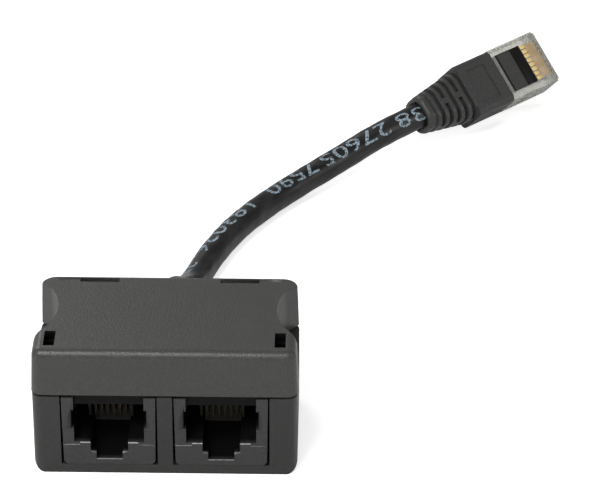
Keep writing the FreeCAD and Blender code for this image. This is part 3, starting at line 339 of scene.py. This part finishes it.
def clear_plastic(name, dark, light, transmission=0.62):
    """Smoky clear plastic, with slight flow marks."""
    finish = Finish(name, roughness=0.25, Transmission_Weight=transmission, IOR=1.4)
    flow = finish.noise(1.6 * MM)
    finish.colour(flow, dark, light)
    finish.roughness(flow, 0.2, 0.32)
    finish.bump(flow, 0.02 * MM)
    return finish.material


def wire_plastic(name, rgb, specular=0.5):
    """A wire's coloured insulation, a little uneven."""
    finish = Finish("wire_" + name, roughness=0.35, specular=specular)
    marks = finish.noise(0.8 * MM)
    finish.colour(marks, [value * 0.88 for value in rgb], rgb)
    finish.bump(marks, 0.01 * MM)
    return finish.material


def dress(obj, material):
    obj.data.materials.clear()
    obj.data.materials.append(material)


# The wires' colours as screen values, and their order.
WIRE_COLOURS = {
    "white": (226, 226, 222),
    "orange": (226, 116, 36),
    "green": (40, 130, 66),
    "blue": (38, 82, 170),
    "brown": (112, 70, 42),
}
WIRE_ORDER = ["white", "orange", "white", "blue", "white", "green", "white", "brown"]

# Where a shell is shaded: from one height to another, and by which colour.
HOLE_SHADE = (24.3 * MM, 23.0 * MM, (50, 50, 50))
BASE_SHADE = (16.0 * MM, 17.5 * MM, (60, 60, 60))

cover_plastic = shell_plastic("cover_plastic", (61, 61, 59), (71, 71, 69))
# Painted shade: a much darker copy of the shell plastic for the walls of the roof's holes and slots.
hole_painted_shade = shell_plastic("hole_painted_shade", (26, 26, 26), (34, 34, 34), HOLE_SHADE)
# Painted shade: the base darkens above its rim, where its arms stand inside the roof's holes.
base_plastic = shell_plastic("base_plastic", (43, 43, 42), (51, 51, 50), BASE_SHADE)
socket = socket_plastic("socket_plastic", (51, 51, 51), (59, 59, 59))
# Painted highlight: a much lighter copy of the socket plastic for the sockets' eased lips.
socket_painted_highlight = socket_plastic("socket_painted_highlight", (146, 146, 148), (182, 182, 184))
carrier = carrier_plastic()
# Painted shade: the contacts' gold is darkened to a dull brownish grey, deep in the sockets.
contact_gold = plated("contact_gold", (74, 70, 64), (104, 98, 88), rough=0.5)
blade_gold = plated("blade_gold", (248, 196, 106), (255, 232, 166), rough=0.42)
crown_gold = plated("crown_gold", (246, 196, 112), (255, 238, 172), rough=0.4, metallic=0.2)
clear = clear_plastic("clear_plastic", (204, 204, 196), (216, 216, 208))
# Painted reflection: amber plastic that stands in for the blades' gold light in the clear plug.
amber = clear_plastic("amber_painted_reflection", (206, 178, 138), (220, 196, 160), transmission=0.25)
jacket = lead_jacket("lead_jacket")
wires = {name: wire_plastic(name, rgb) for name, rgb in WIRE_COLOURS.items()}
plug_wire = wire_plastic("in_plug", (30, 28, 27), specular=0.12)
boot_black = boot_plastic()

for side in ("left", "right"):
    dress(nodes[side + "_carrier"], carrier)
    for number in range(1, CONTACTS + 1):
        dress(nodes["%s_contact_%d" % (side, number)], contact_gold)
for number, colour in enumerate(WIRE_ORDER, start=1):
    dress(nodes["lead_wire_%d" % number], wires[colour])
    dress(nodes["plug_wire_%d" % number], plug_wire)
    dress(nodes["plug_blade_%d" % number], blade_gold)
dress(nodes["circuit_board"], board_resin())
dress(nodes["cable_grommet"], grommet_rubber())
dress(nodes["cable_tail"], jacket)
dress(nodes["plug_jacket_end"], boot_black)
dress(nodes["plug_body"], clear)


def piece_from(shape, name, material, smooth=30):
    """A finished piece that rides on the part, from a bmesh, smooth except at its sharp edges."""
    mesh = bpy.data.meshes.new(name)
    shape.to_mesh(mesh)
    shape.free()
    mesh.shade_smooth()
    mesh.set_sharp_from_angle(angle=math.radians(smooth))
    mesh.materials.append(material)
    piece = bpy.data.objects.new(name, mesh)
    bpy.context.scene.collection.objects.link(piece)
    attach(piece, "root")
    return piece


# Moulded parts, with their edges eased as moulding leaves them
def ease(shape, width, keep, alone):
    """Rounds the sharp edges that keep() picks, together or each alone and in the second material."""
    edges = [edge for edge in shape.edges if edge.is_manifold and edge.calc_face_angle() > SHARP]
    edges = [edge for edge in edges if keep((edge.verts[0].co + edge.verts[1].co) / 2 / MM, edge)]
    groups = [[edge] for edge in edges] if alone else [edges]
    for group in groups:
        if all(edge.is_valid for edge in group):
            bmesh.ops.bevel(shape, geom=group, offset=width, offset_type="OFFSET", affect="EDGES",
                            segments=3, profile=0.5, material=1 if alone else -1,
                            loop_slide=not alone, clamp_overlap=True)


def moulded(name, material, steps=(), reshape=None, second=None):
    """A stand-in for a CAD node. A second material goes on its eased edges, each eased alone."""
    shape = bmesh.new()
    shape.from_mesh(nodes[name].data)
    bmesh.ops.remove_doubles(shape, verts=shape.verts, dist=SAME_PLACE)
    bmesh.ops.dissolve_limit(shape, angle_limit=FLAT, verts=shape.verts, edges=shape.edges)
    if reshape:
        reshape(shape)
    for width, keep in steps:
        ease(shape, width * MM, keep, alone=second is not None)
    piece = piece_from(shape, name + "_eased", material)
    if second:
        piece.data.materials.append(second)
    modifier = piece.modifiers.new("even", "WEIGHTED_NORMAL")
    modifier.keep_sharp = True
    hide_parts(name)
    return piece


def in_roof_hole(place):
    """Whether a place is in a front hole or a rear slot of the roof."""
    along = within(place.y, FRONT_HOLES_ALONG) or place.y > REAR_SLOTS_BEHIND
    return along and place.z > HOLES_ABOVE and within(abs(place.x), HOLES_ACROSS)


def scallop_rim(place, edge):
    """An edge round a finger scallop."""
    beside = abs(place.x) > SCALLOPS_ACROSS and within(place.y, SCALLOPS_ALONG)
    return beside and place.z > SEAM_HEIGHT and not in_roof_hole(place)


def lip(place, edge):
    """An edge between a socket's front face and a floor behind it."""
    if place.y > SOCKET_FRONT_BEFORE or place.z > SOCKET_LIPS_BELOW:
        return False
    normals = [face.normal for face in edge.link_faces]
    return min(normal.y for normal in normals) < -FACING and max(normal.z for normal in normals) > FACING


def draw_out_rear_edge(shape):
    """Draws the roof's rear edge out to a tighter rounding, and its two slots back to it."""
    core = ROUNDING - TIGHT_ROUNDING
    for vertex in shape.verts:
        x, y, z = vertex.co / MM
        at_slot = within(abs(x), REAR_SLOTS_ACROSS) and within(y, REAR_SLOTS_ALONG) and z > REAR_SLOTS_ABOVE
        if at_slot and abs(y - REAR_WALL_INSIDE) > CLOSE:
            vertex.co.y += SLOT_SHIFT * MM
            if z > SLOT_TOPS_ABOVE:
                vertex.co.z = ROOF_HEIGHT * MM
            continue
        aside, behind = max(0.0, abs(x) - CORNER_X), max(0.0, y - CORNER_Y)
        out = math.hypot(aside, behind)
        beyond, rise = out - CORNER_INSIDE, z - (ROOF_HEIGHT - ROUNDING)
        reach = math.hypot(beyond, rise)
        if beyond < ROUNDED_BEYOND or rise < 0 or reach < ROUNDED_SHARE * ROUNDING:
            continue
        weight = min(1.0, max(0.0, (y - CORNER_Y) / ROUNDING_CHANGE + 1))
        outward = (core + TIGHT_ROUNDING * beyond / reach - beyond) * weight / out
        upward = (core + TIGHT_ROUNDING * rise / reach - rise) * weight
        vertex.co += Vector((math.copysign(aside, x) * outward, behind * outward, upward)) * MM


def boot_end(place, edge):
    """An edge round the outside of the boot's mouth."""
    inside = PLUG_INVERSE @ (place * MM) / MM
    return inside.y < BOOT_END and math.hypot(inside.x, inside.z - BOOT_AXIS) > BOOT_MOUTH_RADIUS


def boot_outside(place, edge):
    """An outward edge between the boot's mouth and the plug."""
    inside = PLUG_INVERSE @ (place * MM) / MM
    return within(inside.y, BOOT_OUTSIDE) and edge.calc_face_angle_signed() > 0


def last_groove(shape):
    """Cuts one more groove round the boot, near its mouth."""
    for along in LAST_GROOVE:
        bmesh.ops.bisect_plane(shape, geom=shape.verts[:] + shape.edges[:] + shape.faces[:],
                               dist=ON_CUT, plane_co=PLUG_PLACE @ (Vector((0, along, 0)) * MM),
                               plane_no=PLUG_TURN.col[1].to_3d())
    floor = (LAST_GROOVE[1] - CLOSE, LAST_GROOVE[2] + CLOSE)
    for vertex in shape.verts:
        inside = PLUG_INVERSE @ vertex.co / MM
        reach = Vector((inside.x, 0, inside.z - BOOT_AXIS))
        if within(inside.y, floor) and reach.length > LAST_GROOVE_INSIDE:
            inside -= reach.normalized() * LAST_GROOVE_DEPTH
            vertex.co = PLUG_PLACE @ (inside * MM)


cover = moulded("cover", cover_plastic, [(SCALLOP_EASE, scallop_rim)], draw_out_rear_edge)
# Faces inside the roof's holes and slots take the dark second material: painted shade.
cover.data.materials.append(hole_painted_shade)
for face in cover.data.polygons:
    if in_roof_hole(face.center / MM) and abs(face.normal.z) < UPRIGHT:
        face.material_index = 1

moulded("base", base_plastic)
for side in ("left", "right"):
    # The sockets' eased lips take the lighter second material: a painted highlight.
    moulded(side + "_jack", socket, [(LIP_EASE, lip)], second=socket_painted_highlight)
boot = moulded("plug_boot", boot_black,
               [(BOOT_END_EASE, boot_end), (BOOT_OUTSIDE_EASE, boot_outside)], last_groove)


# Plug's small parts
def plug_piece(name, material, blocks, radius, segments=2):
    """A piece of blocks with rounded edges, each between two corners in the plug's frame."""
    shape = bmesh.new()
    for low, high in blocks:
        made = bmesh.ops.create_cube(shape, size=1)["verts"]
        low, high = Vector(low), Vector(high)
        bmesh.ops.scale(shape, verts=made, vec=high - low)
        bmesh.ops.translate(shape, verts=made, vec=(low + high) / 2)
        edges = list(dict.fromkeys(edge for vertex in made for edge in vertex.link_edges))
        bmesh.ops.bevel(shape, geom=edges, offset=radius, offset_type="OFFSET", affect="EDGES",
                        segments=segments, profile=0.5, material=-1)
    bmesh.ops.transform(shape, verts=shape.verts, matrix=PLUG_PLACE @ Matrix.Scale(MM, 4))
    return piece_from(shape, name, material, smooth=60)


def contact_crowns():
    """The bright rounded heads of the eight blades, in the clear plastic at the rear of their slots."""
    half, blocks = 0.49, []
    for number in range(CONTACTS):
        across = (number - (CONTACTS - 1) / 2) * CONTACT_PITCH
        blocks.append(((across - half, 7.75, -0.7), (across + half, 9.2, 0.06)))
    return plug_piece("plug_contact_crowns", crown_gold, blocks, radius=0.25)


def wire_bed():
    """The dark flat beds in front of the window's block and behind it."""
    half = 4.2
    front = ((-half, 5.15, -1.3), (half, 7.72, 0.01))
    rear = ((-half, 0.95, -1.0), (half, 1.6, -0.04))
    return plug_piece("plug_wire_bed", plug_wire, [front, rear], radius=0.03)


def blade_painted_reflection():
    """Painted reflection: an amber block between the blades, standing in for the clear plastic there lit by
    their gold.
    """
    half = 3.95
    block = ((-half, 9.1, -0.9), (half, 11.6, 0.02))
    return plug_piece("plug_blade_glow", amber, [block], radius=0.15)


def plug_nose():
    """The clear lip that closes the blade slots in front, rooted in the plug and inset at its sides."""
    inset, root, reach = 0.35, 0.25, 0.6
    half = PLUG_WIDTH / 2 - inset
    block = ((-half, PLUG_LENGTH - root, -3.2), (half, PLUG_LENGTH + reach, -0.02))
    return plug_piece("plug_nose", clear, [block], radius=0.4, segments=3)


# Lead
def lead_curve():
    """The lead's line, with no thickness."""
    data = bpy.data.curves.new("lead_line", "CURVE")
    data.dimensions = "3D"
    spline = data.splines.new("NURBS")
    spline.points.add(len(CABLE_ROUTE) - 1)
    for point, place in zip(spline.points, CABLE_ROUTE):
        point.co = (*[value * MM for value in place], 1.0)
    spline.order_u = 3
    spline.use_endpoint_u = True
    spline.resolution_u = 30
    return data


def mesh_of(data, name):
    """The mesh that Blender makes of a curve or a text."""
    holder = bpy.data.objects.new(name, data)
    mesh = bpy.data.meshes.new_from_object(holder)
    bpy.data.objects.remove(holder)
    return mesh


class Line:
    """A curve's own points, the distance along it of each, and directions across it."""

    def __init__(self, data):
        mesh = mesh_of(data, "line")
        self.points = [vertex.co.copy() for vertex in mesh.vertices]
        bpy.data.meshes.remove(mesh)
        self.along = [0.0]
        for before, after in zip(self.points, self.points[1:]):
            self.along.append(self.along[-1] + (after - before).length)

    def at(self, distance):
        """The place on the line at a distance along it, and the directions up and to the right there."""
        last = len(self.points) - 2
        index = min(last, max(0, next((i for i, s in enumerate(self.along) if s > distance), last) - 1))
        start, end = self.points[index], self.points[index + 1]
        step = (end - start).normalized()
        place = start + step * (distance - self.along[index])
        before = self.points[max(0, index - 1)]
        after = self.points[min(last + 1, index + 2)]
        run = (after - before).normalized()
        right = run.cross(UP).normalized()
        return place, right.cross(run), right

    def around(self, distance, turn, reach):
        """A place beside the line, turned from above towards its right."""
        place, up, right = self.at(distance)
        return place + (up * math.cos(turn) + right * math.sin(turn)) * reach


def jacket_reach(distance, turn):
    """How far the jacket's surface is from its line, with soft lumps where the twisted pairs press on it."""
    phase = turn + math.tau * distance / TWIST_LENGTH
    cell = Vector((distance / LUMP_LENGTH, math.cos(phase) * LUMP_ROUND, math.sin(phase) * LUMP_ROUND))
    ridge = math.sin(RIDGES * phase + RIDGE_WANDER * noise.noise(cell * 0.5))
    return CABLE_RADIUS + LUMP_HEIGHT * noise.noise(cell) + RIDGE_HEIGHT * ridge


def ring_after(ring, made):
    """The new ring of vertices, each in the place of the one that it was pulled from."""
    after = []
    for vertex in ring:
        after += [edge.other_vert(vertex) for edge in vertex.link_edges if edge.other_vert(vertex) in made]
    return after


def lead(line):
    """The lead's jacket, a tube along the line, whose vertices also hold their place on it laid straight."""
    turns = [math.tau * side / CABLE_SIDES for side in range(CABLE_SIDES)]
    shape = bmesh.new()
    attribute = shape.verts.layers.float_vector.new("straight")
    ring = bmesh.ops.create_circle(shape, cap_ends=False, segments=CABLE_SIDES, radius=CABLE_RADIUS)["verts"]
    edges = shape.edges[:]
    for number, distance in enumerate(line.along):
        if number:
            made = bmesh.ops.extrude_edge_only(shape, edges=edges)["geom"]
            ring = ring_after(ring, set(made))
            edges = [edge for edge in made if isinstance(edge, bmesh.types.BMEdge)]
            edges = [edge for edge in edges if edge.verts[0] in ring and edge.verts[1] in ring]
        for vertex, turn in zip(ring, turns):
            reach = jacket_reach(distance, turn)
            vertex.co = line.around(distance, turn, reach)
            vertex[attribute] = (distance, math.cos(turn) * reach, math.sin(turn) * reach)
    ends = [edge for edge in shape.edges if edge.is_boundary]
    bmesh.ops.holes_fill(shape, edges=ends, sides=CABLE_SIDES)
    bmesh.ops.recalc_face_normals(shape, faces=shape.faces)
    piece = piece_from(shape, "lead", lead_jacket("lead_skin", "straight"), smooth=60)
    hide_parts("cable")
    return piece


def flat_text(text, length):
    """Text as a flat bmesh of the given length, cut into small cells so that it can bend."""
    data = bpy.data.curves.new("digits", "FONT")
    data.body = text
    data.offset = DIGIT_BOLDNESS
    data.resolution_u = 3
    mesh = mesh_of(data, "digits")
    flat = bmesh.new()
    flat.from_mesh(mesh)
    bpy.data.meshes.remove(mesh)
    low = Vector([min(vertex.co[axis] for vertex in flat.verts) for axis in range(3)])
    high = Vector([max(vertex.co[axis] for vertex in flat.verts) for axis in range(3)])
    bmesh.ops.translate(flat, verts=flat.verts, vec=-(low + Vector((0, (high.y - low.y) / 2, 0))))
    size = Vector((length / (high.x - low.x), DIGIT_HEIGHT / (high.y - low.y), 1))
    bmesh.ops.scale(flat, verts=flat.verts, vec=size)
    for across, least, most in ((Vector((1, 0, 0)), 0, length),
                                (Vector((0, 1, 0)), -DIGIT_HEIGHT / 2, DIGIT_HEIGHT / 2)):
        cuts = int((most - least) / DIGIT_CELL)
        for cut in range(1, cuts):
            bmesh.ops.bisect_plane(flat, geom=flat.verts[:] + flat.edges[:] + flat.faces[:], dist=ON_CUT,
                                   plane_co=across * (least + (most - least) * cut / cuts), plane_no=across)
    return flat


def digits(line):
    """Printed digits that wrap round the jacket and read towards the housing."""
    whole = bmesh.new()
    for text, start, end in DIGITS:
        flat = flat_text(text, (start - end) * MM)
        for vertex in flat.verts:
            distance = start * MM - vertex.co.x
            centre = PRINT_TURN - PRINT_TURN_PER_MM * (PRINT_TURN_AT - distance / MM)
            turn = math.radians(centre) + vertex.co.y / CABLE_RADIUS
            vertex.co = line.around(distance, turn, jacket_reach(distance, turn) + INK_LIFT)
        mesh = bpy.data.meshes.new("digits")
        flat.to_mesh(mesh)
        flat.free()
        whole.from_mesh(mesh)
        bpy.data.meshes.remove(mesh)
    bmesh.ops.recalc_face_normals(whole, faces=whole.faces)
    piece = piece_from(whole, "lead_digits", print_ink(), smooth=80)
    thickness = piece.modifiers.new("ink", "SOLIDIFY")
    thickness.thickness = INK_THICKNESS
    thickness.offset = 0
    return piece


lead_line = Line(lead_curve())
lead_piece = lead(lead_line)
plug = [boot, digits(lead_line), contact_crowns(), wire_bed(), blade_painted_reflection(), plug_nose()]
plug += [nodes["plug_body"], nodes["plug_jacket_end"]]
for number in range(1, CONTACTS + 1):
    plug += [nodes["plug_blade_%d" % number], nodes["plug_wire_%d" % number]]


# Studio
FLOOR_COLOUR, FLOOR_GLOW, FLOOR_SIZE = 0.82, 0.68, 4
SKY_LIGHT = 0.25
LAMP_AIM = Vector((0.01, 0.03, 0.01))

# Each lamp's name, place, width and height in metres, and power in watts.
LAMPS = [
    ("key_lamp", (-0.22, -0.44, 0.75), 0.30, 0.26, 3.65),
    ("strip_lamp", (-0.15, -0.62, 0.50), 0.40, 0.05, 0.85),
    ("back_lamp", (-0.40, 0.65, 0.60), 0.50, 0.30, 2.0),
    ("left_lamp", (-0.70, -0.40, 0.45), 0.30, 0.30, 0.8),
    ("right_lamp", (0.80, -0.10, 0.40), 0.30, 0.40, 0.8),
]


def floor_white():
    """White that takes shadows, with a glow that the camera sees, also through clear plastic."""
    white = bpy.data.materials.new("studio_white")
    white.use_nodes = True
    tree = white.node_tree
    tree.nodes.clear()
    diffuse = tree.nodes.new("ShaderNodeBsdfDiffuse")
    diffuse.inputs["Color"].default_value = grey(FLOOR_COLOUR)
    glow = tree.nodes.new("ShaderNodeEmission")
    glow.inputs["Color"].default_value = grey(1)
    path = tree.nodes.new("ShaderNodeLightPath")
    seen = tree.nodes.new("ShaderNodeMath")
    seen.operation = "MAXIMUM"
    strength = tree.nodes.new("ShaderNodeMath")
    strength.operation = "MULTIPLY"
    strength.inputs[1].default_value = FLOOR_GLOW
    add = tree.nodes.new("ShaderNodeAddShader")
    out = tree.nodes.new("ShaderNodeOutputMaterial")
    for output, target in ((path.outputs["Is Camera Ray"], seen.inputs[0]),
                           (path.outputs["Is Transmission Ray"], seen.inputs[1]),
                           (seen.outputs["Value"], strength.inputs[0]),
                           (strength.outputs["Value"], glow.inputs["Strength"]),
                           (diffuse.outputs["BSDF"], add.inputs[0]),
                           (glow.outputs["Emission"], add.inputs[1]),
                           (add.outputs["Shader"], out.inputs["Surface"])):
        tree.links.new(output, target)
    return white


def studio():
    """White floor, even light from all round, and soft lamps."""
    shape = bmesh.new()
    bmesh.ops.create_grid(shape, x_segments=1, y_segments=1, size=FLOOR_SIZE)
    mesh = bpy.data.meshes.new("floor")
    shape.to_mesh(mesh)
    shape.free()
    floor = bpy.data.objects.new("floor", mesh)
    bpy.context.scene.collection.objects.link(floor)
    dress(floor, floor_white())

    world = bpy.data.worlds.new("studio")
    bpy.context.scene.world = world
    world.use_nodes = True
    background = world.node_tree.nodes["Background"]
    background.inputs["Color"].default_value = grey(1)
    background.inputs["Strength"].default_value = SKY_LIGHT

    for name, place, width, height, power in LAMPS:
        data = bpy.data.lights.new(name, "AREA")
        data.shape = "RECTANGLE"
        data.size = width
        data.size_y = height
        data.energy = power
        holder = bpy.data.objects.new(name, data)
        holder.location = place
        holder.rotation_euler = (LAMP_AIM - Vector(place)).to_track_quat("-Z", "Y").to_euler()
        bpy.context.scene.collection.objects.link(holder)


def camera():
    """The photograph's camera."""
    data = bpy.data.cameras.new("camera")
    data.sensor_fit = "HORIZONTAL"
    data.sensor_width = CAMERA_SENSOR
    data.lens = CAMERA_LENS
    data.clip_start = 10 * MM
    holder = bpy.data.objects.new("camera", data)
    turn = Matrix.Rotation(CAMERA_TURN, 4, "Z") @ Matrix.Rotation(math.pi / 2 - CAMERA_TILT, 4, "X")
    holder.matrix_world = Matrix.Translation(CAMERA_PLACE) @ turn @ Matrix.Rotation(CAMERA_ROLL, 4, "Z")
    bpy.context.scene.collection.objects.link(holder)
    bpy.context.scene.camera = holder


studio()
camera()
bpy.context.scene.view_settings.view_transform = "Standard"
